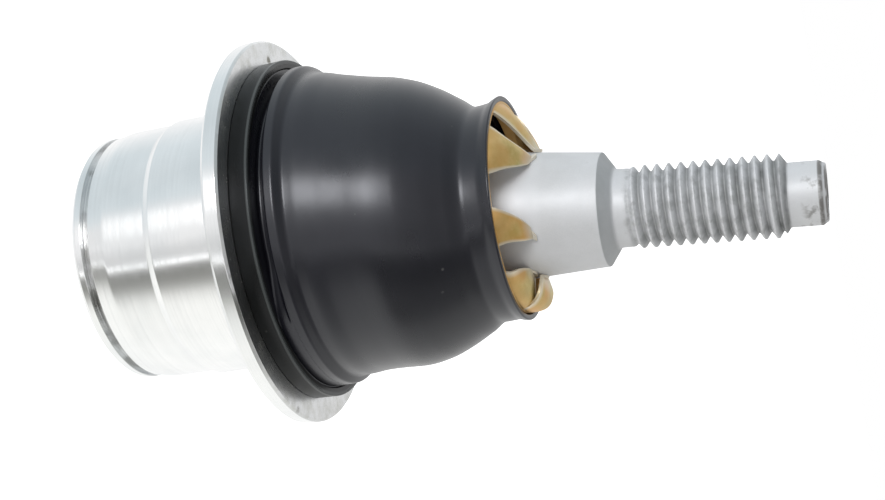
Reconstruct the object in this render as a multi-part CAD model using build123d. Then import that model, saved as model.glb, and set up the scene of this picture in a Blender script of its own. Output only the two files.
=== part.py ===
from build123d import *
import math
import os

# Press-in suspension ball joint, millimetres.
# +Z runs along the housing axis towards the stud. The origin is on that axis, in the plane of the flange's rear seating face.
# The stud is set leaning towards +X about the ball centre, which is its resting position.

# ---- driving dimensions ----
LEAN = 4.66             # resting lean of the stud, degrees
BALL_Z = -4.0           # ball centre on the housing axis
BALL_R = 15.0
RUN = 0.04              # radial running clearance of the ball in its bearings

FLANGE_R = 34.2
FLANGE_T = 3.1
BODY_B_R = 23.2         # press diameter, next to the flange
BODY_A_R = 22.6         # pilot diameter, next to the closed end
STEP_Z = (-16.2, -15.0)
LEAD_Z = -24.0
LEAD_R = 22.1
GROOVE_Z = (-28.4, -27.0)
GROOVE_R = 20.9
END_Z = -30.4
BORE_R = 19.0
NECK_R = 24.5           # boot seat beyond the flange
NECK_TOP = 8.6
MOUTH_R = (13.6, 16.4)  # opening over the upper bearing, and at the neck's top
SHOULDER_Z = 3.0        # underside of the mouth, on the upper bearing

CAP_TOP, CAP_BOTTOM = -24.3, -27.1
CRIMP_R, CRIMP_Z = 17.2, -28.3
SPRING_T = 0.9
SPRING_R = (7.0, 17.0)
BEARING_SPLIT = 0.4     # half the gap between the bearings at the ball's equator
LOWER_BOTTOM = -22.5
GREASE_R = 4.5

# stud distances are from the ball centre, along the stud axis
STUD_NECK_R = 9.0
FLARE_T = (22.0, 31.0)
TAPER_T = (37.9, 62.42)
TAPER_R = (11.80, 9.65)
UNDERCUT_R = 6.65
UNDERCUT_T = (64.5, 65.9)
THREAD_R = 6.95         # M14 x 2, major radius
THREAD_T = (66.4, 92.4)
PILOT_R = 5.3
STUD_END = 98.47

RING_R = (28.6, 30.1)   # boot base ring
RING_TOP = 6.4
BOOT_T = 2.0
MOUTH_C = (2.16, 43.04) # boot mouth centre: X and Z in the mouth's plane
MOUTH_LEAN = 1.2        # the mouth leans less than the stud, degrees
LIP_R = 19.4
LIP_DEPTH = 3.6         # lip and band lengths are measured down from the mouth's plane
CLAW_RING_R = (17.6, 18.3)
CLAW_RING_DEPTH = (3.3, 0.3)
CLAWS = 8
CLAW_PHASE = 75.0       # direction of the first claw, degrees from -Y towards -X
CLAW_T = 0.55
CLAW_TIP_T = (51.2, 52.8)
CLAW_GAP = 0.06         # claw to shank

os.makedirs("parts", exist_ok=True)


def section(points):
    """Closed face in the XZ plane from (radius, height) points."""
    return Plane.XZ * make_face(Polyline(*[(r, z) for r, z in points], close=True))


def turned(points):
    return revolve(section(points), Axis.Z, 360)


def about_ball(shape, lean=LEAN):
    """Carries a shape built on the ball centre, with Z along the stud, to its resting lean."""
    return Pos(0, 0, BALL_Z) * Rot(0, lean, 0) * shape


def ball(radius, z=0.0):
    return Pos(0, 0, z) * Sphere(radius)


def shank_r(t):
    k = (t - TAPER_T[0]) / (TAPER_T[1] - TAPER_T[0])
    return TAPER_R[0] + k * (TAPER_R[1] - TAPER_R[0])


# ---- housing: barrel, flange, boot seat, bore, crimped end ----
housing = turned([
    (MOUTH_R[0], SHOULDER_Z), (BORE_R, SHOULDER_Z), (BORE_R, CAP_BOTTOM), (CRIMP_R, CAP_BOTTOM),
    (CRIMP_R, CRIMP_Z + 0.4), (CRIMP_R + 0.5, CRIMP_Z), (BORE_R + 0.3, CRIMP_Z - 0.4), (BORE_R + 0.9, END_Z),
    (21.3, END_Z), (LEAD_R, END_Z + 0.8), (LEAD_R, GROOVE_Z[0]), (GROOVE_R, GROOVE_Z[0]), (GROOVE_R, GROOVE_Z[1]),
    (LEAD_R, GROOVE_Z[1]), (BODY_A_R, LEAD_Z), (BODY_A_R, STEP_Z[0]), (BODY_B_R, STEP_Z[1]), (BODY_B_R, 0.0),
    (FLANGE_R - 0.6, 0.0), (FLANGE_R, 0.6), (FLANGE_R, FLANGE_T - 0.4), (FLANGE_R - 0.4, FLANGE_T),
    (NECK_R, FLANGE_T), (NECK_R, NECK_TOP - 0.6), (NECK_R - 0.6, NECK_TOP), (MOUTH_R[1], NECK_TOP),
])
export_step(housing, "parts/housing.step")

# ---- closing cap: pressed plate with a raised rim seat and a shallow dimple ----
closing_cap = turned([
    (0, CAP_TOP), (BORE_R, CAP_TOP), (BORE_R, CAP_BOTTOM), (12.5, CAP_BOTTOM), (11.3, CAP_BOTTOM - 0.9),
    (5.0, CAP_BOTTOM - 0.9), (3.6, CAP_BOTTOM), (0, CAP_BOTTOM),
])
export_step(closing_cap, "parts/closing_cap.step")

# ---- disc spring: cone between the cap at its rim and the lower bearing at its bore ----
disc_spring = turned([
    (SPRING_R[0], LOWER_BOTTOM), (SPRING_R[0], LOWER_BOTTOM - SPRING_T),
    (SPRING_R[1], CAP_TOP), (SPRING_R[1], CAP_TOP + SPRING_T),
])
export_step(disc_spring, "parts/disc_spring.step")

# ---- bearings: two seats round the ball ----
lower_bearing = turned([
    (GREASE_R, LOWER_BOTTOM), (BORE_R - 0.8, LOWER_BOTTOM), (BORE_R, LOWER_BOTTOM + 0.8),
    (BORE_R, BALL_Z - BEARING_SPLIT), (GREASE_R, BALL_Z - BEARING_SPLIT),
]) - ball(BALL_R + RUN, BALL_Z)
export_step(lower_bearing, "parts/lower_bearing.step")

upper_bearing = turned([
    (12.0, BALL_Z + BEARING_SPLIT), (BORE_R, BALL_Z + BEARING_SPLIT), (BORE_R, SHOULDER_Z), (12.0, SHOULDER_Z),
]) - ball(BALL_R + RUN, BALL_Z)
export_step(upper_bearing, "parts/upper_bearing.step")

# ---- ball stud: ball, neck, tapered shank, threaded end, pilot tip ----
stud_turned = turned([
    (0, 8.0), (STUD_NECK_R, 8.0), (STUD_NECK_R, FLARE_T[0]), (TAPER_R[0], FLARE_T[1]), (TAPER_R[0], TAPER_T[0]),
    (TAPER_R[1], TAPER_T[1]), (UNDERCUT_R, UNDERCUT_T[0]), (UNDERCUT_R, UNDERCUT_T[1]), (THREAD_R, THREAD_T[0]),
    (THREAD_R, THREAD_T[1] - 1.1), (PILOT_R + 0.1, THREAD_T[1]), (PILOT_R, THREAD_T[1] + 0.1), (PILOT_R, STUD_END - 0.7),
    (PILOT_R - 0.7, STUD_END), (0, STUD_END),
])
ball_stud = about_ball(ball(BALL_R) - Pos(0, 0, -BALL_R - 4.7) * Box(40, 40, 10) + stud_turned)
export_step(ball_stud, "parts/ball_stud.step")

# ---- boot base ring ----
boot_ring = turned([
    (RING_R[0], FLANGE_T), (RING_R[1], FLANGE_T), (RING_R[1], RING_TOP - 0.3), (RING_R[1] - 0.3, RING_TOP), (RING_R[0], RING_TOP),
])
export_step(boot_ring, "parts/boot_base_ring.step")

# ---- dust boot, in three lengths: foot with its bead on the housing, wall on the tilt, and lip at the stud ----
boot_base = turned([
    (NECK_R, FLANGE_T), (RING_R[0], FLANGE_T), (RING_R[0], 6.4), (26.8, 6.7), (26.7, 7.5), (27.5, 8.2), (28.3, 8.7), (28.3, 9.2),
    (27.5, 9.7), (26.8, 10.5), (26.9, 12.0), (26.3, 15.0),
    (26.3 - BOOT_T, 15.0), (NECK_R, 12.0),
])
export_step(boot_base, "parts/dust_boot_base.step")

WALL = [(26.2, 20.1), (25.7, 24.0), (25.35, 28.0), (24.35, 32.0), (22.55, 36.0), (20.45, 39.5), (19.2, 41.4)]
boot_wall = about_ball(Pos(0.6, 0, 0) * turned(WALL + [(r - BOOT_T, t) for r, t in reversed(WALL)]), LEAN / 2)
export_step(boot_wall, "parts/dust_boot_wall.step")


def at_mouth(shape):
    """Carries a shape built on the boot mouth's centre, with Z out of the mouth, to its place."""
    return Pos(MOUTH_C[0], 0, MOUTH_C[1]) * Rot(0, MOUTH_LEAN, 0) * shape


boot_lip = at_mouth(turned([
    (CLAW_RING_R[1], -LIP_DEPTH), (LIP_R - 0.6, -LIP_DEPTH), (LIP_R - 0.65, -LIP_DEPTH + 1.0), (LIP_R - 0.1, -1.4),
    (LIP_R, -0.4), (LIP_R - 0.4, 0.0), (CLAW_RING_R[1], 0.0),
]))
export_step(boot_lip, "parts/dust_boot_lip.step")

# ---- claw ring: band in the boot's mouth, with triangular claws that lean in on the shank ----
claw_ring = at_mouth(turned([
    (CLAW_RING_R[0], -CLAW_RING_DEPTH[0]), (CLAW_RING_R[1], -CLAW_RING_DEPTH[0]), (CLAW_RING_R[1], -CLAW_RING_DEPTH[1]), (CLAW_RING_R[0], -CLAW_RING_DEPTH[1]),
]))
band_limit = at_mouth(Cylinder(CLAW_RING_R[1], 30))
# the mouth seen from the stud: its centre's offset and distance, and its tilt against the stud's axis
lean, rel = math.radians(LEAN), math.radians(LEAN - MOUTH_LEAN)
mouth_off = MOUTH_C[0] * math.cos(lean) - (MOUTH_C[1] - BALL_Z) * math.sin(lean)
mouth_t = MOUTH_C[0] * math.sin(lean) + (MOUTH_C[1] - BALL_Z) * math.cos(lean)
for i in range(CLAWS):
    # direction of the claw from the stud axis, degrees from +X towards +Y
    turn = -90.0 - CLAW_PHASE + i * 360.0 / CLAWS
    a = math.radians(turn)
    base_r = mouth_off * math.cos(a) + math.sqrt(CLAW_RING_R[0] ** 2 - (mouth_off * math.sin(a)) ** 2) + 0.2
    base_t = mouth_t + math.tan(rel) * (base_r * math.cos(a) - mouth_off) - 1.7
    inner = [(base_r, base_t)] + [(shank_r(t) + CLAW_GAP, t) for t in CLAW_TIP_T]
    dr, dt = inner[1][0] - inner[0][0], inner[1][1] - inner[0][1]
    n = math.hypot(dr, dt)
    outer = [(inner[0][0] + CLAW_T * dt / n, inner[0][1] - CLAW_T * dr / n), (inner[1][0] + CLAW_T * 0.9, inner[1][1] + 0.15), (inner[2][0] + CLAW_T * 0.8, inner[2][1])]
    strip = extrude(section(inner + outer[::-1]), amount=8, both=True)
    # outline seen from outside: wide at the band, narrow at the shank
    outline = Plane.YZ * make_face(Polyline((-4.7, 43.0), (4.7, 43.0), (1.3, CLAW_TIP_T[1] + 0.2), (-1.3, CLAW_TIP_T[1] + 0.2), close=True))
    claw_ring += about_ball(Rot(0, 0, turn) * (strip & extrude(outline, amount=24))) & band_limit
export_step(claw_ring, "parts/claw_ring.step")

for name, shape in (("housing", housing), ("ball_stud", ball_stud), ("claw_ring", claw_ring)):
    print(name, round(shape.volume), "mm3", "solids", len(shape.solids()))
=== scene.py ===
import bpy
import math
import numpy as np
from mathutils import Matrix, Vector


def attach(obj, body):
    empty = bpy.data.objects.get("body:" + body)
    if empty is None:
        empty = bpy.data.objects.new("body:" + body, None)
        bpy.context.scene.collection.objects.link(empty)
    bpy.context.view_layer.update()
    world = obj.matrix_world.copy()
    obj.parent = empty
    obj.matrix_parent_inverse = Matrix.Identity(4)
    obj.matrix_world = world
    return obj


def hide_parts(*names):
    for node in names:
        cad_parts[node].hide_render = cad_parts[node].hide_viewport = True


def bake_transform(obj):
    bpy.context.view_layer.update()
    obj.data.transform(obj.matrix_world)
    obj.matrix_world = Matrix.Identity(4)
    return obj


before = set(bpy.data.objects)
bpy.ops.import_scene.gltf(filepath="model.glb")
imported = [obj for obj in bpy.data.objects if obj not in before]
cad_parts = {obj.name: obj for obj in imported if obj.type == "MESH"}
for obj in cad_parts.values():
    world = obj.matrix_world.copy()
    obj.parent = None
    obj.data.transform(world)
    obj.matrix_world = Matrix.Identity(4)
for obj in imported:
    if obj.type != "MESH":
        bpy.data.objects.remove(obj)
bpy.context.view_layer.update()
MM = 0.001

# ---------------- dimensions, millimetres, as in the CAD model ----------------
LEAN = math.radians(4.66)
BALL_Z, BALL_R = -4.0, 15.0
FLANGE_R, FLANGE_T = 34.2, 3.1
BODY_B_R, BODY_A_R, LEAD_R = 23.2, 22.6, 22.1
GROOVE_Z, GROOVE_R, END_Z = (-28.4, -27.0), 20.9, -30.4
BORE_R, NECK_R, NECK_TOP = 19.0, 24.5, 8.6
CAP_TOP, CAP_BOTTOM = -24.3, -27.1
CRIMP_R, CRIMP_Z = 17.2, -28.3
TAPER_T, TAPER_R = (37.9, 62.42), (11.80, 9.65)
PITCH, THREAD_R, THREAD_ROOT = 2.0, 6.95, 5.80
THREAD_T = (66.4, 92.4)
NECK_R2, NECK_T2 = 6.65, (64.5, 65.9)   # plain neck before the thread
CREST_T = 81.27          # a crest passes the -X side here
PILOT_R, STUD_END = 5.3, 98.47
RING_R, RING_TOP = (28.6, 30.1), 6.4
MOUTH_C, MOUTH_LEAN = (2.16, 43.04), math.radians(1.2)
CLAW_RING_R = (17.6, 18.3)
SEAM_Z = 26.0            # the boot's two visual lengths meet here


# ---------------- mesh helpers ----------------
def smooth(x):
    x = np.clip(x, 0.0, 1.0)
    return x * x * (3 - 2 * x)


def rounded(points, closed=True, seg=5):
    """(r, z) outline from (r, z, corner radius) points, with arcs and a support point beside each arc."""
    n, out = len(points), []
    for i, p in enumerate(points):
        P = np.array(p[:2], float)
        rad = p[2] if len(p) > 2 else 0.0
        if (not closed and i in (0, n - 1)) or rad <= 0:
            out.append(P)
            continue
        A, B = np.array(points[i - 1][:2], float), np.array(points[(i + 1) % n][:2], float)
        a, b = A - P, B - P
        la, lb = np.linalg.norm(a), np.linalg.norm(b)
        a, b = a / la, b / lb
        ang = math.acos(max(-1.0, min(1.0, float(a @ b))))
        if ang > math.pi - 0.03:
            out.append(P)
            continue
        d = min(rad / math.tan(ang / 2), 0.42 * la, 0.42 * lb)
        rad = d * math.tan(ang / 2)
        C = P + (a + b) / np.linalg.norm(a + b) * (rad / math.sin(ang / 2))
        s, e = P + a * d, P + b * d
        sup = min(0.25 * d, 0.06)
        if la - d > 4 * sup:
            out.append(s + a * sup)
        t0, t1 = math.atan2(*(s - C)[::-1]), math.atan2(*(e - C)[::-1])
        dt = (t1 - t0 + math.pi) % (2 * math.pi) - math.pi
        for k in range(seg + 1):
            t = t0 + dt * k / seg
            out.append(C + rad * np.array([math.cos(t), math.sin(t)]))
        if lb - d > 4 * sup:
            out.append(e + b * sup)
    return np.array(out)


def grid_object(name, P, closed_rows, cap_start=False, cap_end=False, attrs=None):
    """Mesh from rows of points P[row, column], in millimetres. Columns wrap. Rows wrap too if closed_rows; otherwise each end can be closed with a pole."""
    rows, cols = P.shape[:2]
    verts = P.reshape(-1, 3)
    i, j = np.meshgrid(np.arange(rows if closed_rows else rows - 1), np.arange(cols), indexing="ij")
    i2, j2 = (i + 1) % rows, (j + 1) % cols
    faces = np.stack([i * cols + j, i * cols + j2, i2 * cols + j2, i2 * cols + j], -1).reshape(-1, 4).tolist()
    extra = []
    if cap_start:
        k = len(verts) + len(extra)
        extra.append(P[0].mean(0))
        faces += [[k, (c + 1) % cols, c] for c in range(cols)]
    if cap_end:
        k = len(verts) + len(extra)
        extra.append(P[-1].mean(0))
        o = (rows - 1) * cols
        faces += [[k, o + c, o + (c + 1) % cols] for c in range(cols)]
    if extra:
        verts = np.vstack([verts, extra])
    return mesh_object(name, verts, faces, attrs)


def mesh_object(name, verts, faces, attrs=None):
    me = bpy.data.meshes.new(name)
    me.from_pydata((np.asarray(verts, float) * MM).tolist(), [], faces)
    me.validate()
    import bmesh
    bm = bmesh.new()
    bm.from_mesh(me)
    bmesh.ops.recalc_face_normals(bm, faces=bm.faces)
    if bm.calc_volume(signed=True) < 0:
        bmesh.ops.reverse_faces(bm, faces=bm.faces)
    bm.to_mesh(me)
    bm.free()
    me.polygons.foreach_set("use_smooth", [True] * len(me.polygons))
    me.set_sharp_from_angle(angle=math.radians(38))
    for key, values in (attrs or {}).items():
        at = me.attributes.new(key, "FLOAT", "POINT")
        v = np.zeros(len(me.vertices), np.float32)
        v[:len(values)] = values
        at.data.foreach_set("value", v)
    me.update()
    o = bpy.data.objects.new(name, me)
    bpy.context.scene.collection.objects.link(o)
    return o


def lathe(name, profile, segments=288, closed=True, place=None, **kw):
    th = np.linspace(0, 2 * np.pi, segments, endpoint=False)
    P = np.stack([profile[:, :1] * np.cos(th), profile[:, :1] * np.sin(th), profile[:, 1:2] + 0 * th], -1)
    if place is not None:
        P = place(P)
    return grid_object(name, P, closed, **kw)


def turn_y(P, a, origin=(0, 0, 0)):
    """Turns points by a about +Y, and then shifts them to origin."""
    c, s = math.cos(a), math.sin(a)
    x, z = P[..., 0] * c + P[..., 2] * s, -P[..., 0] * s + P[..., 2] * c
    return np.stack([x + origin[0], P[..., 1] + origin[1], z + origin[2]], -1)


def stud_place(P):
    return turn_y(P, LEAN, (0, 0, BALL_Z))


def mouth_place(P):
    return turn_y(P, MOUTH_LEAN, (MOUTH_C[0], 0, MOUTH_C[1]))


def shank_r(t):
    k = (t - TAPER_T[0]) / (TAPER_T[1] - TAPER_T[0])
    return TAPER_R[0] + k * (TAPER_R[1] - TAPER_R[0])


# ---------------- node helpers ----------------
class Nodes:
    def __init__(self, name):
        self.m = bpy.data.materials.new(name)
        self.m.use_nodes = True
        self.t = self.m.node_tree
        self.bsdf = next(n for n in self.t.nodes if n.type == "BSDF_PRINCIPLED")

    def put(self, kind, **inputs):
        n = self.t.nodes.new(kind)
        props = inputs.pop("props", {})
        for k, v in props.items():
            setattr(n, k, v)
        for k, v in inputs.items():
            key = int(k[1:]) if k[0] == "i" and k[1:].isdigit() else k.replace("_", " ")
            self.wire(n.inputs[key], v)
        return n

    def wire(self, socket, v):
        if isinstance(v, bpy.types.NodeSocket):
            self.t.links.new(v, socket)
        else:
            socket.default_value = v

    def math(self, op, a, b=0.0, clamp=False):
        return self.put("ShaderNodeMath", i0=a, i1=b, props={"operation": op, "use_clamp": clamp}).outputs[0]

    def mix(self, fac, a, b):
        n = self.t.nodes.new("ShaderNodeMix")
        n.data_type = "RGBA"
        for s, v in ((n.inputs[0], fac), (n.inputs[6], a), (n.inputs[7], b)):
            self.wire(s, v)
        return n.outputs[2]

    def ramp(self, fac, stops):
        n = self.put("ShaderNodeMapRange", Value=fac, From_Min=stops[0], From_Max=stops[1], To_Min=stops[2], To_Max=stops[3])
        return n.outputs[0]

    def noise(self, vec, scale, detail=3.0, rough=0.5):
        return self.put("ShaderNodeTexNoise", Vector=vec, Scale=scale, Detail=detail, Roughness=rough).outputs[0]

    def coords(self, stud=False):
        c = self.put("ShaderNodeTexCoord").outputs["Object"]
        if stud:
            m = self.put("ShaderNodeMapping", Vector=c)
            m.inputs["Rotation"].default_value = (0, -LEAN, 0)
            m.inputs["Location"].default_value = (BALL_Z * MM * math.sin(LEAN), 0, -BALL_Z * MM * math.cos(LEAN))
            c = m.outputs[0]
        return c

    def cylinder(self, vec):
        """radius and height of a point, and its direction as cosine and sine, in metres"""
        x, y, z = self.put("ShaderNodeSeparateXYZ", Vector=vec).outputs
        r = self.math("SQRT", self.math("ADD", self.math("MULTIPLY", x, x), self.math("MULTIPLY", y, y)))
        rs = self.math("MAXIMUM", r, 1e-5)
        return r, z, self.math("DIVIDE", x, rs), self.math("DIVIDE", y, rs)

    def turned(self, vec, k, twist=0.12):
        """vector that varies fast along radius and height and slowly round the axis, for lathe marks"""
        r, z, c, s = self.cylinder(vec)
        return self.put("ShaderNodeCombineXYZ", X=self.math("ADD", self.math("MULTIPLY", r, k), self.math("MULTIPLY", c, twist)),
                        Y=self.math("MULTIPLY", z, k), Z=self.math("MULTIPLY", s, twist)).outputs[0]

    def bump(self, height, strength, distance, under=None):
        n = self.put("ShaderNodeBump", Height=height, Strength=strength, Distance=distance)
        if under is not None:
            self.t.links.new(under, n.inputs["Normal"])
        return n.outputs[0]

    def brushed(self, amount):
        """the highlight spreads across the lathe marks, which run round the axis"""
        tangent = self.put("ShaderNodeTangent", props={"direction_type": "RADIAL", "axis": "Z"})
        self.t.links.new(tangent.outputs[0], self.bsdf.inputs["Tangent"])
        self.bsdf.inputs["Anisotropic"].default_value = amount
        self.bsdf.inputs["Anisotropic Rotation"].default_value = 0.25

    def finish(self, color, rough, normal=None, metallic=0.0, **fixed):
        self.wire(self.bsdf.inputs["Base Color"], color)
        self.wire(self.bsdf.inputs["Roughness"], rough)
        self.bsdf.inputs["Metallic"].default_value = metallic
        if normal is not None:
            self.t.links.new(normal, self.bsdf.inputs["Normal"])
        for k, v in fixed.items():
            self.bsdf.inputs[k.replace("_", " ")].default_value = v
        return self.m


def rgb(r, g, b):
    return (r, g, b, 1.0)


def steel_material(name, base, dark, rough=(0.20, 0.36), pits=True, marks=0.5, stud=False):
    n = Nodes(name)
    v = n.coords(stud)
    lines = n.noise(n.turned(v, 5200.0), 1.0, 3.0, 0.6)
    broad = n.noise(n.turned(v, 520.0, 0.5), 1.0, 2.0, 0.5)
    cloud = n.noise(v, 95.0, 4.0, 0.55)
    color = n.mix(n.ramp(cloud, (0.35, 0.7, 0.0, 1.0)), rgb(*base), rgb(*dark))
    color = n.mix(n.ramp(lines, (0.3, 0.75, 0.0, 0.22)), color, rgb(base[0] * 0.62, base[1] * 0.64, base[2] * 0.66))
    height = n.math("ADD", n.math("MULTIPLY", lines, 0.7), n.math("MULTIPLY", broad, 0.5))
    rough_v = n.ramp(n.math("ADD", n.math("MULTIPLY", lines, 0.5), n.math("MULTIPLY", cloud, 0.5)), (0.3, 0.7, rough[0], rough[1]))
    normal = n.bump(height, marks, 0.00001)
    if pits:
        spots = n.put("ShaderNodeTexVoronoi", Vector=v, Scale=260.0, props={"feature": "F1"}).outputs["Distance"]
        gate = n.ramp(n.noise(v, 120.0, 2.0), (0.60, 0.68, 0.0, 1.0))
        pit = n.math("MULTIPLY", n.ramp(spots, (0.10, 0.16, 1.0, 0.0)), gate, True)
        color = n.mix(pit, color, rgb(0.20, 0.20, 0.19))
        normal = n.bump(n.math("SUBTRACT", 1.0, pit), 0.5, 0.00004, normal)
    return n.finish(color, rough_v, normal, 1.0)


def housing_material():
    n = Nodes("turned_steel")
    v = n.coords()
    r, z, c, s = n.cylinder(v)
    lines = n.noise(n.turned(v, 3600.0), 1.0, 3.0, 0.6)
    broad = n.noise(n.turned(v, 360.0, 0.35), 1.0, 2.0, 0.5)
    cloud = n.noise(v, 70.0, 4.0, 0.55)
    color = n.mix(n.ramp(cloud, (0.38, 0.72, 0.0, 1.0)), rgb(0.88, 0.885, 0.89), rgb(0.78, 0.80, 0.81))
    color = n.mix(n.ramp(lines, (0.35, 0.8, 0.0, 0.14)), color, rgb(0.55, 0.57, 0.58))
    # flange face beside the boot: dull, softly mottled, with a few pits
    face = n.math("MULTIPLY", n.ramp(z, (0.0027, 0.0030, 0.0, 1.0)), n.ramp(r, (0.0300, 0.0303, 0.0, 1.0)), True)
    mottle = n.math("MULTIPLY", n.ramp(n.noise(v, 420.0, 3.0, 0.55), (0.40, 0.70, 0.0, 0.40)), face, True)
    color = n.mix(mottle, color, rgb(0.44, 0.44, 0.37))
    cells = n.put("ShaderNodeTexVoronoi", Vector=v, Scale=240.0, props={"feature": "F1"}).outputs["Distance"]
    speck = n.math("MULTIPLY", n.ramp(cells, (0.13, 0.24, 1.0, 0.0)), n.ramp(n.noise(v, 150.0, 1.0), (0.54, 0.60, 0.0, 0.85)), True)
    speck = n.math("MULTIPLY", speck, face, True)
    color = n.mix(speck, color, rgb(0.14, 0.13, 0.09))
    # painted shade in the snap ring groove, darkest at its floor, broken up by noise
    groove = n.math("MULTIPLY", n.ramp(z, (-0.02845, -0.02835, 0.0, 1.0)), n.ramp(z, (-0.02705, -0.02695, 1.0, 0.0)), True)
    groove = n.math("MULTIPLY", groove, n.ramp(r, (0.0209, 0.0219, 1.0, 0.2)), True)
    groove = n.math("MULTIPLY", groove, n.ramp(n.noise(v, 190.0, 2.0), (0.50, 0.66, 0.0, 0.55)), True)
    color = n.mix(groove, color, rgb(0.16, 0.155, 0.13))
    # single pits on the barrel
    cells = n.put("ShaderNodeTexVoronoi", Vector=v, Scale=85.0, props={"feature": "F1"}).outputs["Distance"]
    pit = n.math("MULTIPLY", n.ramp(cells, (0.045, 0.075, 1.0, 0.0)), n.ramp(n.noise(v, 60.0, 1.0), (0.55, 0.6, 0.0, 1.0)), True)
    color = n.mix(pit, color, rgb(0.24, 0.25, 0.25))
    rough_v = n.ramp(n.math("ADD", n.math("MULTIPLY", lines, 0.55), n.math("MULTIPLY", cloud, 0.45)), (0.3, 0.7, 0.15, 0.26))
    rough_v = n.math("ADD", rough_v, n.math("MULTIPLY", n.math("MAXIMUM", groove, n.math("MAXIMUM", mottle, speck)), 0.14), True)
    normal = n.bump(n.math("ADD", n.math("MULTIPLY", lines, 0.7), n.math("MULTIPLY", broad, 0.6)), 0.30, 0.000006)
    normal = n.bump(n.math("SUBTRACT", 1.0, n.math("MAXIMUM", pit, n.math("MAXIMUM", speck, n.math("MULTIPLY", mottle, 0.4)))), 0.5, 0.00005, normal)
    n.brushed(0.8)
    return n.finish(color, rough_v, normal, 1.0)


def stud_material():
    n = Nodes("zinc_flake_stud")
    v = n.coords(stud=True)
    r, z, c, s = n.cylinder(v)
    cloud = n.noise(v, 120.0, 4.0, 0.6)
    grain = n.noise(v, 4200.0, 2.0, 0.6)
    lines = n.noise(n.turned(v, 2400.0), 1.0, 2.0, 0.5)
    color = n.mix(n.ramp(cloud, (0.35, 0.7, 0.0, 1.0)), rgb(0.66, 0.67, 0.695), rgb(0.59, 0.60, 0.615))
    color = n.mix(n.ramp(grain, (0.35, 0.75, 0.0, 0.3)), color, rgb(0.74, 0.745, 0.755))
    # painted light: the taper is painted paler where it meets the boot, to lift the shade in the recess among the claws
    color = n.mix(n.ramp(z, (0.0470, 0.0535, 0.9, 0.0)), color, rgb(0.90, 0.91, 0.94))
    # painted shade: the turned chamfer beyond the taper is painted darker, unevenly
    chamfer_shade = n.math("MULTIPLY", n.ramp(z, (0.06235, 0.0625, 0.0, 1.0)), n.ramp(z, (0.0641, 0.0645, 1.0, 0.0)), True)
    chamfer_shade = n.math("MULTIPLY", chamfer_shade, n.ramp(cloud, (0.3, 0.7, 0.55, 0.80)), True)
    color = n.mix(chamfer_shade, color, rgb(0.33, 0.35, 0.36))
    # painted shade: the thread roots are painted dark, broken up by noise, and darker towards the tip
    on_thread = n.math("MULTIPLY", n.ramp(z, (0.0658, 0.0668, 0.0, 1.0)), n.ramp(z, (0.0922, 0.0927, 1.0, 0.0)), True)
    root = n.math("MULTIPLY", n.ramp(r, (0.0058, 0.0067, 1.0, 0.0)), on_thread, True)
    shade_breakup = n.ramp(n.noise(v, 260.0, 3.0, 0.6), (0.38, 0.62, 0.55, 1.0))
    root = n.math("MULTIPLY", n.math("MULTIPLY", root, shade_breakup), n.ramp(z, (0.069, 0.091, 0.55, 0.95)), True)
    color = n.mix(root, color, rgb(0.115, 0.12, 0.12))
    flank = n.math("MULTIPLY", n.ramp(n.noise(v, 420.0, 3.0, 0.65), (0.46, 0.66, 0.0, 0.6)), on_thread, True)
    color = n.mix(flank, color, rgb(0.30, 0.31, 0.31))
    # dark end chamfer and soot-brown marks on the tip
    edge = n.math("MULTIPLY", n.ramp(z, (0.0971, 0.0973, 0.0, 1.0)), n.ramp(z, (0.0978, 0.0980, 1.0, 0.12)), True)
    edge = n.math("MULTIPLY", edge, n.ramp(n.noise(v, 520.0, 3.0, 0.6), (0.34, 0.50, 0.45, 0.85)), True)
    face = n.math("MULTIPLY", n.ramp(z, (0.0981, 0.0983, 0.0, 1.0)), n.ramp(n.noise(v, 300.0, 2.0, 0.6), (0.44, 0.54, 0.15, 0.85)), True)
    edge = n.math("MAXIMUM", edge, face)
    tip = n.math("MULTIPLY", n.ramp(z, (0.0942, 0.0956, 0.0, 1.0)), n.ramp(n.noise(v, 430.0, 3.0, 0.6), (0.54, 0.66, 0.0, 0.62)), True)
    dirt = n.math("MAXIMUM", edge, tip)
    color = n.mix(dirt, color, rgb(0.13, 0.12, 0.11))
    cells = n.put("ShaderNodeTexVoronoi", Vector=v, Scale=150.0, props={"feature": "F1"}).outputs["Distance"]
    pit = n.math("MULTIPLY", n.ramp(cells, (0.05, 0.09, 1.0, 0.0)), n.ramp(n.noise(v, 90.0, 1.0), (0.55, 0.62, 0.0, 1.0)), True)
    color = n.mix(n.math("MULTIPLY", pit, 0.6), color, rgb(0.28, 0.28, 0.28))
    rough_v = n.ramp(n.math("ADD", n.math("MULTIPLY", grain, 0.5), n.math("MULTIPLY", cloud, 0.5)), (0.3, 0.7, 0.42, 0.56))
    rough_v = n.math("ADD", rough_v, n.math("MULTIPLY", on_thread, 0.06), True)
    normal = n.bump(grain, 0.25, 0.000015)
    normal = n.bump(lines, 0.20, 0.00001, normal)
    return n.finish(color, rough_v, normal, 0.18)


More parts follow.
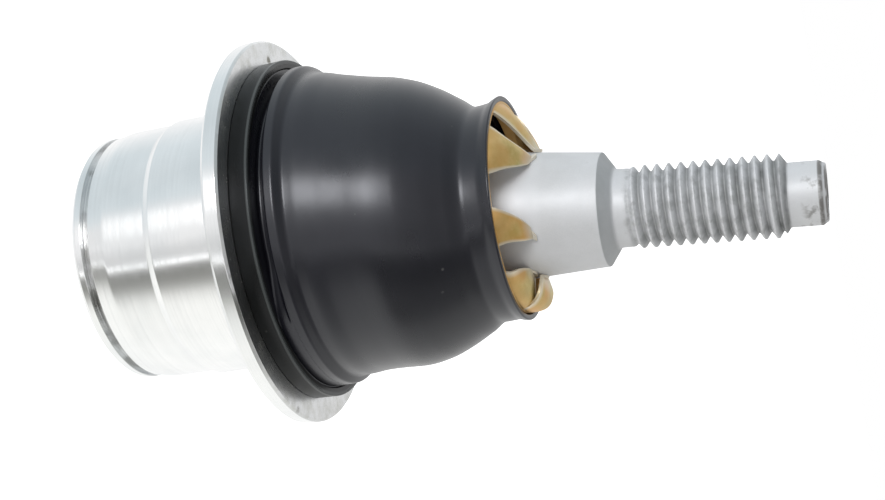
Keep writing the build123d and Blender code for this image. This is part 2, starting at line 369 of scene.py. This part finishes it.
def rubber_material(name, base, rough, ior, edge_highlight=False):
    n = Nodes(name)
    v = n.coords()
    cloud = n.noise(v, 55.0, 4.0, 0.6)
    grain = n.noise(v, 2600.0, 3.0, 0.6)
    flow = n.noise(n.turned(v, 260.0, 1.4), 1.0, 3.0, 0.55)
    color = n.mix(n.ramp(cloud, (0.35, 0.7, 0.0, 1.0)), rgb(*base), rgb(base[0] * 1.6, base[1] * 1.55, base[2] * 1.6))
    cells = n.put("ShaderNodeTexVoronoi", Vector=v, Scale=330.0, props={"feature": "F1"}).outputs["Distance"]
    dust = n.math("MULTIPLY", n.ramp(cells, (0.05, 0.11, 1.0, 0.0)), n.ramp(n.noise(v, 140.0, 1.0), (0.58, 0.66, 0.0, 0.45)), True)
    color = n.mix(dust, color, rgb(0.16, 0.16, 0.155))
    rough_v = n.ramp(n.math("ADD", n.math("MULTIPLY", cloud, 0.6), n.math("MULTIPLY", flow, 0.4)), (0.35, 0.65, rough[0], rough[1]))
    if edge_highlight:
        r, z, c, s = n.cylinder(v)
        # painted highlight: the ring's top outer edge is painted lighter, and made glossier, for the bright line along
        # it
        rim_highlight = n.math("MULTIPLY", n.ramp(z, (0.00585, 0.0061, 0.0, 1.0)), n.ramp(r, (0.0293, 0.0296, 0.0, 1.0)), True)
        color = n.mix(rim_highlight, color, rgb(0.062, 0.068, 0.068))
        rough_v = n.math("SUBTRACT", rough_v, n.math("MULTIPLY", rim_highlight, 0.06), True)
    normal = n.bump(grain, 0.12, 0.00002)
    normal = n.bump(flow, 0.12, 0.00012, normal)
    return n.finish(color, rough_v, normal, 0.0, IOR=ior, Specular_Tint=rgb(0.93, 0.945, 1.0))


def claw_material():
    n = Nodes("yellow_zinc")
    v = n.coords()
    cloud = n.noise(v, 300.0, 4.0, 0.62)
    tint = n.noise(v, 140.0, 2.0, 0.5)
    grain = n.noise(v, 3200.0, 2.0, 0.6)
    edge = n.put("ShaderNodeAttribute", props={"attribute_name": "edge"}).outputs["Fac"]
    tip = n.put("ShaderNodeAttribute", props={"attribute_name": "tip"}).outputs["Fac"]
    color = n.mix(n.ramp(cloud, (0.35, 0.65, 0.0, 1.0)), rgb(0.55, 0.43, 0.14), rgb(0.78, 0.65, 0.32))
    color = n.mix(n.ramp(tint, (0.46, 0.66, 0.0, 0.75)), color, rgb(0.74, 0.40, 0.115))
    color = n.mix(n.ramp(tint, (0.30, 0.42, 0.7, 0.0)), color, rgb(0.52, 0.45, 0.22))
    color = n.mix(n.ramp(tip, (0.12, 0.48, 0.60, 0.0)), color, rgb(0.74, 0.40, 0.13))
    color = n.mix(n.ramp(tip, (0.60, 0.88, 0.0, 0.9)), color, rgb(0.76, 0.73, 0.66))
    # claw edges painted pale: partly the tone of the sheared edges, partly a painted highlight
    color = n.mix(n.ramp(edge, (0.78, 0.96, 0.0, 0.85)), color, rgb(0.85, 0.78, 0.64))
    rough_v = n.ramp(cloud, (0.3, 0.7, 0.34, 0.50))
    return n.finish(color, rough_v, n.bump(grain, 0.25, 0.00002), 0.7)


def plastic_material(name, base):
    n = Nodes(name)
    v = n.coords()
    cloud = n.noise(v, 90.0, 3.0, 0.5)
    grain = n.noise(n.turned(v, 1500.0), 1.0, 2.0, 0.5)
    color = n.mix(n.ramp(cloud, (0.35, 0.7, 0.0, 1.0)), rgb(*base), rgb(base[0] * 0.86, base[1] * 0.85, base[2] * 0.80))
    return n.finish(color, n.ramp(cloud, (0.3, 0.7, 0.30, 0.45)), n.bump(grain, 0.15, 0.00001), 0.0)


STEEL = housing_material()
CAP = steel_material("pressed_steel", (0.70, 0.71, 0.72), (0.52, 0.53, 0.54), (0.28, 0.44))
SPRING = steel_material("spring_steel", (0.36, 0.37, 0.40), (0.22, 0.23, 0.26), (0.24, 0.38), pits=False)
STUD = stud_material()
RUBBER = rubber_material("boot_rubber", (0.0058, 0.0060, 0.0092), (0.25, 0.34), 1.60)
BLACK = rubber_material("black_ring", (0.0055, 0.0060, 0.0058), (0.26, 0.34), 1.34, edge_highlight=True)
ZINC = claw_material()
ACETAL = plastic_material("acetal", (0.86, 0.84, 0.76))


def dress(o, material, body, nodes=()):
    o.data.materials.clear()
    o.data.materials.append(material)
    if body:
        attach(o, body)
    if nodes:
        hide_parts(*nodes)
    return o


# ---------------- housing ----------------
housing = rounded([
    (13.6, 3.0, 0.3), (BORE_R, 3.0), (BORE_R, CAP_BOTTOM), (CRIMP_R, CAP_BOTTOM),
    (CRIMP_R, CRIMP_Z + 0.2, 0.4), (CRIMP_R + 0.9, CRIMP_Z - 0.2, 0.6), (BORE_R + 0.3, CRIMP_Z - 0.4, 0.5), (BORE_R + 0.9, END_Z, 0.25),
    (21.3, END_Z, 0.35), (LEAD_R, END_Z + 0.8, 0.4), (LEAD_R, GROOVE_Z[0], 0.12), (GROOVE_R, GROOVE_Z[0], 0.15), (GROOVE_R, GROOVE_Z[1], 0.15),
    (LEAD_R, GROOVE_Z[1], 0.12), (BODY_A_R, -24.0, 3.0), (BODY_A_R, -16.2, 0.5), (BODY_B_R, -15.0, 0.5), (BODY_B_R, 0.0, 0.15),
    (FLANGE_R - 0.6, 0.0, 0.25), (FLANGE_R, 0.6, 0.25), (FLANGE_R, FLANGE_T - 0.4, 0.2), (FLANGE_R - 0.4, FLANGE_T, 0.2),
    (NECK_R, FLANGE_T), (NECK_R, NECK_TOP - 0.6, 0.3), (NECK_R - 0.6, NECK_TOP, 0.3), (16.4, NECK_TOP, 0.4)])
dress(lathe("housing_turned", housing, 320), STEEL, "housing_body", ["housing"])

cap = rounded([(0.02, CAP_TOP), (BORE_R - 0.02, CAP_TOP, 0.1), (BORE_R - 0.02, CAP_BOTTOM, 0.3), (12.5, CAP_BOTTOM, 1.2),
               (11.3, CAP_BOTTOM - 0.9, 0.9), (5.0, CAP_BOTTOM - 0.9, 0.8), (3.6, CAP_BOTTOM, 0.8), (0.02, CAP_BOTTOM)], closed=False)
dress(lathe("closing_cap_pressed", cap, 192, closed=False, cap_start=True, cap_end=True), CAP, "housing_body", ["closing_cap"])

ring = rounded([(RING_R[0], FLANGE_T + 0.02), (RING_R[1] - 0.1, FLANGE_T + 0.02, 0.2), (RING_R[1] - 0.03, RING_TOP - 0.55, 0.4),
                (RING_R[1], RING_TOP - 0.4, 0.1), (RING_R[1] - 0.02, RING_TOP, 0.34), (RING_R[0], RING_TOP - 0.08, 0.15)], seg=8)
dress(lathe("boot_base_ring_black", ring, 288), BLACK, "housing_body", ["boot_base_ring"])

for node, material in (("disc_spring", SPRING), ("lower_bearing", ACETAL), ("upper_bearing", ACETAL)):
    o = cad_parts[node]
    o.data.materials.clear()
    o.data.materials.append(material)

# ---------------- ball stud, with a true right-hand helix ----------------
def stud_radius(t, theta, base):
    """thread radius: a 60 degree form with flat crests, faded in and out at its ends"""
    lead = CREST_T + PITCH * (theta - math.pi) / (2 * math.pi)
    k = np.abs(((t - lead) / PITCH + 0.5) % 1.0 - 0.5) * 2.0       # 0 at a crest, 1 at a root
    form = 1.0 - np.clip((k - 0.13) / 0.74, 0, 1)
    r = THREAD_ROOT + (THREAD_R - 0.02 - THREAD_ROOT) * form
    fade_in = smooth((t - THREAD_T[0] + 0.2) / 2.2)
    r = NECK_R2 - 0.05 + (r - NECK_R2 + 0.05) * fade_in
    limit = PILOT_R + np.clip((THREAD_T[1] - t) / 1.15, 0, 1) * (THREAD_R - PILOT_R)
    return np.minimum(r, limit)


arc = np.array([(BALL_R * math.cos(a), BALL_R * math.sin(a)) for a in np.linspace(-math.asin(14.697 / 15), math.asin(12.0 / 15), 72)])
low = np.vstack([[(0.02, -14.697), (2.4, -14.697)], arc])
mid = rounded([(9.0, 12.0), (9.0, 22.0, 8.0), (11.8, 31.0, 8.0), (11.8, 37.9, 3.0), (TAPER_R[1], TAPER_T[1], 0.22),
               (NECK_R2, NECK_T2[0], 0.5), (NECK_R2 - 0.05, THREAD_T[0] - 0.25)], closed=False, seg=10)[1:]
rows = np.arange(THREAD_T[0], THREAD_T[1], 0.075)
thread = np.stack([np.full(len(rows), -1.0), rows], -1)
tip = rounded([(PILOT_R, THREAD_T[1]), (PILOT_R, THREAD_T[1] + 1.0), (PILOT_R, STUD_END - 1.0, 0.3), (PILOT_R - 0.62, STUD_END - 0.02, 0.22),
               (3.9, STUD_END - 0.02, 0.3), (3.2, STUD_END - 0.35, 0.3), (1.5, STUD_END - 0.35, 0.3), (0.9, STUD_END - 0.7, 0.1), (0.02, STUD_END - 1.1)], closed=False)
prof = np.vstack([low, mid, thread, tip])
SEG = 224
th = np.linspace(0, 2 * np.pi, SEG, endpoint=False)
R = np.repeat(prof[:, :1], SEG, 1)
is_thread = prof[:, 0] < 0
R[is_thread] = stud_radius(prof[is_thread, 1][:, None], th[None, :], 0)
P = stud_place(np.stack([R * np.cos(th), R * np.sin(th), prof[:, 1:2] + 0 * th], -1))
dress(grid_object("ball_stud_threaded", P, False, True, True), STUD, "stud_body", ["ball_stud"])

# ---------------- dust boot ----------------
BOOT = [(9.0, 27.75), (12.0, 26.99), (16.0, 26.24), (20.0, 25.72), (24.0, 25.34), (28.0, 24.35), (32.0, 22.54), (35.5, 20.44), (38.5, 18.66), (41.0, 18.72), (42.2, 19.15), (43.07, 19.35)]
SHIFT = [(7.0, 0.0), (9.0, -0.1), (12.0, 0.1), (16.0, 0.46), (24.0, 1.28), (32.0, 1.56), (38.0, 1.84), (44.0, 1.2)]


def pchip(points, x):
    """monotone cubic through (x, y) points"""
    X, Y = np.array(points, float).T
    h, d = np.diff(X), np.diff(Y) / np.diff(X)
    m = np.zeros(len(X))
    m[0], m[-1] = d[0], d[-1]
    for i in range(1, len(X) - 1):
        if d[i - 1] * d[i] > 0:
            w1, w2 = 2 * h[i] + h[i - 1], h[i] + 2 * h[i - 1]
            m[i] = (w1 + w2) / (w1 / d[i - 1] + w2 / d[i])
    i = np.clip(np.searchsorted(X, x) - 1, 0, len(h) - 1)
    s = (x - X[i]) / h[i]
    return ((2 * s**3 - 3 * s**2 + 1) * Y[i] + (s**3 - 2 * s**2 + s) * h[i] * m[i] + (-2 * s**3 + 3 * s**2) * Y[i + 1] + (s**3 - s**2) * h[i] * m[i + 1])


def boot_place(P):
    """bends the straight boot about the ball centre, to its resting shape"""
    z = P[..., 2]
    a = MOUTH_LEAN * smooth((z - 9.0) / 31.0)
    x, h = P[..., 0] + pchip(SHIFT, np.clip(z, 7.0, 44.0)), z - BALL_Z
    return np.stack([x * np.cos(a) + h * np.sin(a), P[..., 1], -x * np.sin(a) + h * np.cos(a) + BALL_Z], -1)


def pressed(P):
    """on the side the stud leans to, the foot is pressed up and its groove nearly closes"""
    r = np.hypot(P[..., 0], P[..., 1])
    w = smooth((P[..., 0] / r - 0.30) / 0.40) * smooth((P[..., 2] - 6.0) / 0.12) * smooth((8.5 - P[..., 2]) / 0.2) * (r > 25.0)
    k = 1 + w * np.maximum(28.36 - r, 0) / r
    return np.stack([P[..., 0] * k, P[..., 1] * k, P[..., 2]], -1)


def boot_length(name, outer, inner, segments=288):
    prof = np.vstack([outer, inner[::-1]])
    return lathe(name, prof, segments, closed=True, place=lambda P: boot_place(pressed(P)))


z_low = np.append(np.arange(12.0, SEAM_Z - 0.3, 0.35), [SEAM_Z - 0.2, SEAM_Z - 0.05, SEAM_Z])
foot = rounded([(24.52, FLANGE_T + 0.02), (28.55, FLANGE_T + 0.02), (28.55, 6.15, 0.25), (25.6, 6.3, 0.5), (25.6, 7.8, 0.5),
                (28.40, 8.25, 0.4), (28.34, 9.9, 0.7), (27.02, 10.9, 1.3), (26.92, 12.0)], closed=False, seg=8)[1:-1]
outer_low = np.vstack([foot, np.stack([pchip([(12.0, 26.92), (12.6, 26.88)] + BOOT[2:], z_low), z_low], -1)])
zi = np.arange(12.5, SEAM_Z, 0.8)
zi = np.append(zi, SEAM_Z)
inner_low = np.vstack([[(24.52, FLANGE_T + 0.02), (24.52, 8.9)], np.stack([pchip([(12.5, 24.85), (20.0, 23.7), (26.0, 22.95)], zi), zi], -1)])
lower = boot_length("dust_boot_lower", outer_low, inner_low)
dress(lower, RUBBER, None, ["dust_boot_base"])
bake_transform(lower)

z_up = np.concatenate([[SEAM_Z, SEAM_Z + 0.05, SEAM_Z + 0.2], np.arange(SEAM_Z + 0.5, 42.3, 0.3), [42.4]])
lip = rounded([(pchip(BOOT, np.array([42.4]))[0], 42.4), (19.38, 43.05, 0.45), (18.32, 43.04, 0.3), (18.32, 41.0)], closed=False)[1:]
outer_up = np.vstack([np.stack([pchip(BOOT, z_up), z_up], -1), lip])
zi = np.append(np.arange(SEAM_Z, 39.4, 0.8), 39.4)
inner_up = np.stack([pchip([(26.0, 22.95), (32.0, 20.6), (35.5, 18.9), (38.0, 17.3), (39.4, 17.25)], zi), zi], -1)
inner_up = np.vstack([inner_up, [(18.32, 39.6)]])
upper = boot_length("dust_boot_upper", outer_up, inner_up)
dress(upper, RUBBER, None, ["dust_boot_wall", "dust_boot_lip"])
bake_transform(upper)

# ---------------- claw ring ----------------
REL = LEAN - MOUTH_LEAN
OFF = MOUTH_C[0] * math.cos(LEAN) - (MOUTH_C[1] - BALL_Z) * math.sin(LEAN)
MT = MOUTH_C[0] * math.sin(LEAN) + (MOUTH_C[1] - BALL_Z) * math.cos(LEAN)
band = rounded([(CLAW_RING_R[0] - 0.45, -3.1, 0.1), (CLAW_RING_R[1] - 0.55, -3.1, 0.1), (CLAW_RING_R[1] - 0.03, -1.5, 0.8), (CLAW_RING_R[1] - 0.02, -0.12, 0.2),
                (CLAW_RING_R[0] + 0.1, -0.12, 0.2), (CLAW_RING_R[0], -0.6, 0.2), (CLAW_RING_R[0], -1.5, 0.8)])
band_o = lathe("claw_band", band, 192, place=mouth_place, attrs={"edge": [0.0], "tip": [0.0]})
dress(band_o, ZINC, "swing_body", ["claw_ring"])

# claw: direction and half width at the band in degrees, direction at the tip, distance of the tip, fullness of its sides, crease depth,
# how far it stands up before it turns in, how late it swings over
CLAW_T, U, V = 0.5, 34, 17
CLAWS = [(-162.0, 14.5, -171.0, 52.1, 3.2, 0.25, 0.35, 1.0), (-120.0, 15.0, -147.0, 52.0, 1.3, 0.50, 0.8, 2.4), (-77.0, 10.8, -61.5, 52.3, 1.7, 0.62, 0.8, 2.4),
         (-31.0, 21.0, -18.0, 50.7, 3.0, 0.60, 1.8, 1.0), (11.0, 22.5, -5.0, 52.0, 4.2, 0.30, 3.8, 1.0), (62.0, 15.0, 68.0, 51.8, 1.8, 0.25, 0.8, 1.2),
         (106.0, 14.5, 99.0, 52.2, 2.0, 0.30, 0.6, 1.2), (150.0, 14.5, 156.0, 51.6, 1.7, 0.25, 0.9, 1.2)]
for i, (az0, half0, az1, t_end, full, crease, stand, late) in enumerate(CLAWS):
    u, v = np.linspace(0, 1, U)[:, None], np.linspace(-1, 1, V)[None, :]
    tip_half = 2.6
    half = np.radians(tip_half + (half0 - tip_half) * (1 - u ** full) + 0.5 * np.sin(9 * u + i))
    phi = np.radians(az0 + (az1 - az0) * u ** late) + v * half
    base = np.radians(az0) + v * half
    rb = OFF * np.cos(base) + np.sqrt(CLAW_RING_R[0] ** 2 - (OFF * np.sin(base)) ** 2) + 0.12
    tb = MT + math.tan(REL) * (rb * np.cos(base) - OFF)
    k = 0.86                                   # share of the length that slopes, before the foot
    a = np.clip(u / k, 0, 1)
    foot_len = 0.95 * np.clip((u - k) / (1 - k), 0, 1)
    t1 = t_end - 0.95
    r1 = shank_r(t1) + 0.08
    p0, p1, p2, p3 = (rb, tb - 1.1), (rb + 0.05, tb + stand), (r1 + 1.9 + 0.4 * stand + 0 * rb, t1 - 1.15 + 0.35 * stand + 0 * rb), (r1 + 0 * rb, t1 + 0 * rb)
    w = ((1 - a) ** 3, 3 * a * (1 - a) ** 2, 3 * a ** 2 * (1 - a), a ** 3)
    rr = sum(wi * p[0] for wi, p in zip(w, (p0, p1, p2, p3))) + (shank_r(t1 + foot_len) - shank_r(t1))
    tt = sum(wi * p[1] for wi, p in zip(w, (p0, p1, p2, p3))) + foot_len
    body = np.sin(np.pi * np.clip(u / k, 0, 1)) ** 0.8
    dent = crease * body * (np.sin(2.3 * v + 1.7 * i + 3.0 * u) * 0.6 - 0.75 * v ** 2 + 0.35)
    rr, tt = rr + dent * 0.55, tt + dent * 0.8
    inn = np.stack([rr * np.cos(phi), rr * np.sin(phi), tt], -1)
    du, dv = np.gradient(inn, axis=0), np.gradient(inn, axis=1)
    nrm = np.cross(du, dv)
    nrm /= np.linalg.norm(nrm, axis=-1, keepdims=True)
    radial = np.stack([np.cos(phi), np.sin(phi), 0 * phi], -1)
    if (nrm * radial).sum() < 0:
        nrm = -nrm
    out = inn + nrm * CLAW_T
    verts = np.vstack([inn.reshape(-1, 3), out.reshape(-1, 3)])
    n = U * V
    idx = lambda a_, b_, o=0: o + a_ * V + b_
    faces = []
    for a_ in range(U - 1):
        for b_ in range(V - 1):
            faces.append([idx(a_, b_), idx(a_ + 1, b_), idx(a_ + 1, b_ + 1), idx(a_, b_ + 1)])
            faces.append([idx(a_, b_, n), idx(a_, b_ + 1, n), idx(a_ + 1, b_ + 1, n), idx(a_ + 1, b_, n)])
        for b_ in (0, V - 1):
            faces.append([idx(a_, b_), idx(a_, b_, n), idx(a_ + 1, b_, n), idx(a_ + 1, b_)])
    for b_ in range(V - 1):
        for a_ in (0, U - 1):
            faces.append([idx(a_, b_), idx(a_, b_ + 1), idx(a_, b_ + 1, n), idx(a_, b_, n)])
    # edge: mask for the claws' pale edges, partly sheared-edge tone and partly painted highlight
    edge = np.maximum(np.abs(v) + 0 * u, smooth((u - 0.95) / 0.05) + 0 * v).ravel()
    along = (u + 0 * v).ravel()
    o = mesh_object(f"claw_{i + 1}", stud_place(verts), faces, {"edge": np.concatenate([edge, edge]), "tip": np.concatenate([along, along])})
    dress(o, ZINC, "swing_body")

# ---------------- camera, studio, floor ----------------
right, up, back = Vector((0.11551, 0.287974, 0.950646)), Vector((-0.983342, -0.102068, 0.150402)), Vector((0.140343, -0.952183, 0.271387))
cam = bpy.data.cameras.new("camera")
cam.lens, cam.sensor_width, cam.clip_start, cam.clip_end = 1500 / 885 * 36, 36.0, 0.01, 50.0
cam_o = bpy.data.objects.new("camera", cam)
cam_o.matrix_world = Matrix([[right[i], up[i], back[i], (43.981, -247.395, 99.345)[i] * MM] for i in range(3)] + [[0, 0, 0, 1]])
bpy.context.scene.collection.objects.link(cam_o)
bpy.context.scene.camera = cam_o

floor_mesh = bpy.data.meshes.new("floor")
floor_mesh.from_pydata([(-6, -6, END_Z * MM), (6, -6, END_Z * MM), (6, 6, END_Z * MM), (-6, 6, END_Z * MM)], [], [(0, 1, 2, 3)])
floor = bpy.data.objects.new("floor", floor_mesh)
bpy.context.scene.collection.objects.link(floor)
fm = bpy.data.materials.new("pale_floor")
fm.use_nodes = True
fb = next(n for n in fm.node_tree.nodes if n.type == "BSDF_PRINCIPLED")
fb.inputs["Base Color"].default_value = (0.8, 0.8, 0.8, 1)
fb.inputs["Roughness"].default_value = 0.9
fb.inputs["Emission Color"].default_value = (1, 1, 1, 1)
fb.inputs["Emission Strength"].default_value = 1.0
floor_mesh.materials.append(fm)
for ray in ("diffuse", "glossy", "transmission", "shadow"):
    setattr(floor, "visible_" + ray, False)

world = bpy.data.worlds.new("studio")
bpy.context.scene.world = world
world.use_nodes = True
wt = world.node_tree
wt.nodes.clear()


def wnode(kind, **props):
    n = wt.nodes.new(kind)
    for k, v in props.items():
        setattr(n, k, v)
    return n


tc = wnode("ShaderNodeTexCoord")
dots = []
for axis in (back, up):
    d = wnode("ShaderNodeVectorMath", operation="DOT_PRODUCT")
    wt.links.new(tc.outputs["Generated"], d.inputs[0])
    d.inputs[1].default_value = axis
    dots.append(d.outputs["Value"])
at = wnode("ShaderNodeMath", operation="ARCTAN2")
wt.links.new(dots[1], at.inputs[0])
wt.links.new(dots[0], at.inputs[1])
mr = wnode("ShaderNodeMapRange")
wt.links.new(at.outputs[0], mr.inputs["Value"])
mr.inputs["From Min"].default_value, mr.inputs["From Max"].default_value = -math.pi, math.pi
cr = wnode("ShaderNodeValToRGB")
wt.links.new(mr.outputs[0], cr.inputs[0])
# the light tent round the object, by height above and below the viewing side: degrees, brightness, colour
SKY = (0.885, 0.965, 1.0)
TENT = [(-180, 1.02, (1, 1, 1)), (-110, 1.16, (1, 1, .975)), (-60, 1.10, (1, 1, .965)), (-51, .90, (1, 1, .965)), (-43, .44, (1, 1, .95)), (-36, .27, (1, 1, .94)),
        (-24, .25, (1, 1, .94)), (-19.9, .46, (1, 1, .97)), (-19.7, 3.3, (1, 1, 1)), (-18.4, 3.3, (1, 1, 1)), (-18.2, .66, (1, 1, 1)), (-8, .76, (1, 1, 1)), (4, .96, (1, 1, 1)),
        (18, .86, (1, 1, 1)), (34, .86, (1, 1, 1)), (50, .84, SKY), (76, .79, SKY), (112, .88, SKY), (150, 1.05, (1, 1, 1)), (180, 1.02, (1, 1, 1))]
while len(cr.color_ramp.elements) < len(TENT):
    cr.color_ramp.elements.new(0.5)
for e, (deg, val, col) in zip(cr.color_ramp.elements, TENT):
    e.position = (deg + 180) / 360
for e, (deg, val, col) in zip(cr.color_ramp.elements, TENT):
    e.color = (val * col[0], val * col[1], val * col[2], 1)


def wmap(value, f0, f1, t0, t1):
    n = wnode("ShaderNodeMapRange")
    wt.links.new(value, n.inputs["Value"])
    for key, val in (("From Min", f0), ("From Max", f1), ("To Min", t0), ("To Max", t1)):
        n.inputs[key].default_value = val
    return n.outputs[0]


# it is dimmer towards the stud's end, and the lower half is dimmer everywhere but towards the closed end
axial = wnode("ShaderNodeSeparateXYZ")
wt.links.new(tc.outputs["Generated"], axial.inputs[0])
upper_dim = wmap(axial.outputs[2], 0.0, 1.0, 1.0, 0.46)
# a dark panel stands low in front, beyond the closed end's light
bottom, panel = wmap(axial.outputs[2], -0.36, 0.0, 1.0, 0.68), wmap(axial.outputs[2], -0.28, -0.08, 1.0, 0.34)
before = wmap(at.outputs[0], math.radians(-92), math.radians(-76), 0.0, 1.0)
low = wnode("ShaderNodeMix")
for sock, val in ((low.inputs[0], before), (low.inputs[2], bottom), (low.inputs[3], panel)):
    wt.links.new(val, sock)
lower_dim = low.outputs[0]
side = wmap(at.outputs[0], math.radians(-48), math.radians(-22), 0.0, 1.0)
dim = wnode("ShaderNodeMix")
for sock, val in ((dim.inputs[0], side), (dim.inputs[2], lower_dim), (dim.inputs[3], upper_dim)):
    wt.links.new(val, sock)
shade = wnode("ShaderNodeVectorMath", operation="SCALE")
wt.links.new(cr.outputs[0], shade.inputs[0])
wt.links.new(dim.outputs[0], shade.inputs["Scale"])
lit, seen = wnode("ShaderNodeBackground"), wnode("ShaderNodeBackground")
wt.links.new(shade.outputs[0], lit.inputs["Color"])
lit.inputs["Strength"].default_value = 1.0
seen.inputs["Color"].default_value, seen.inputs["Strength"].default_value = (1, 1, 1, 1), 1.0
lp, mixer, out_n = wnode("ShaderNodeLightPath"), wnode("ShaderNodeMixShader"), wnode("ShaderNodeOutputWorld")
wt.links.new(lp.outputs["Is Camera Ray"], mixer.inputs[0])
wt.links.new(lit.outputs[0], mixer.inputs[1])
wt.links.new(seen.outputs[0], mixer.inputs[2])
wt.links.new(mixer.outputs[0], out_n.inputs["Surface"])

key = bpy.data.lights.new("softbox", "AREA")
key.shape, key.size, key.size_y, key.energy = "RECTANGLE", 0.34, 0.22, 1.9
key_o = bpy.data.objects.new("softbox", key)
key_dir = Vector((-0.309, -0.950, 0.031)).normalized()
key_o.matrix_world = Matrix.Translation(key_dir * 0.70 + Vector((0, 0, 0.018))) @ Matrix([[right[i], key_dir.cross(right)[i], key_dir[i]] for i in range(3)]).to_4x4()
bpy.context.scene.collection.objects.link(key_o)

vs = bpy.context.scene.view_settings
vs.view_transform = "Standard"
vs.look = "None"
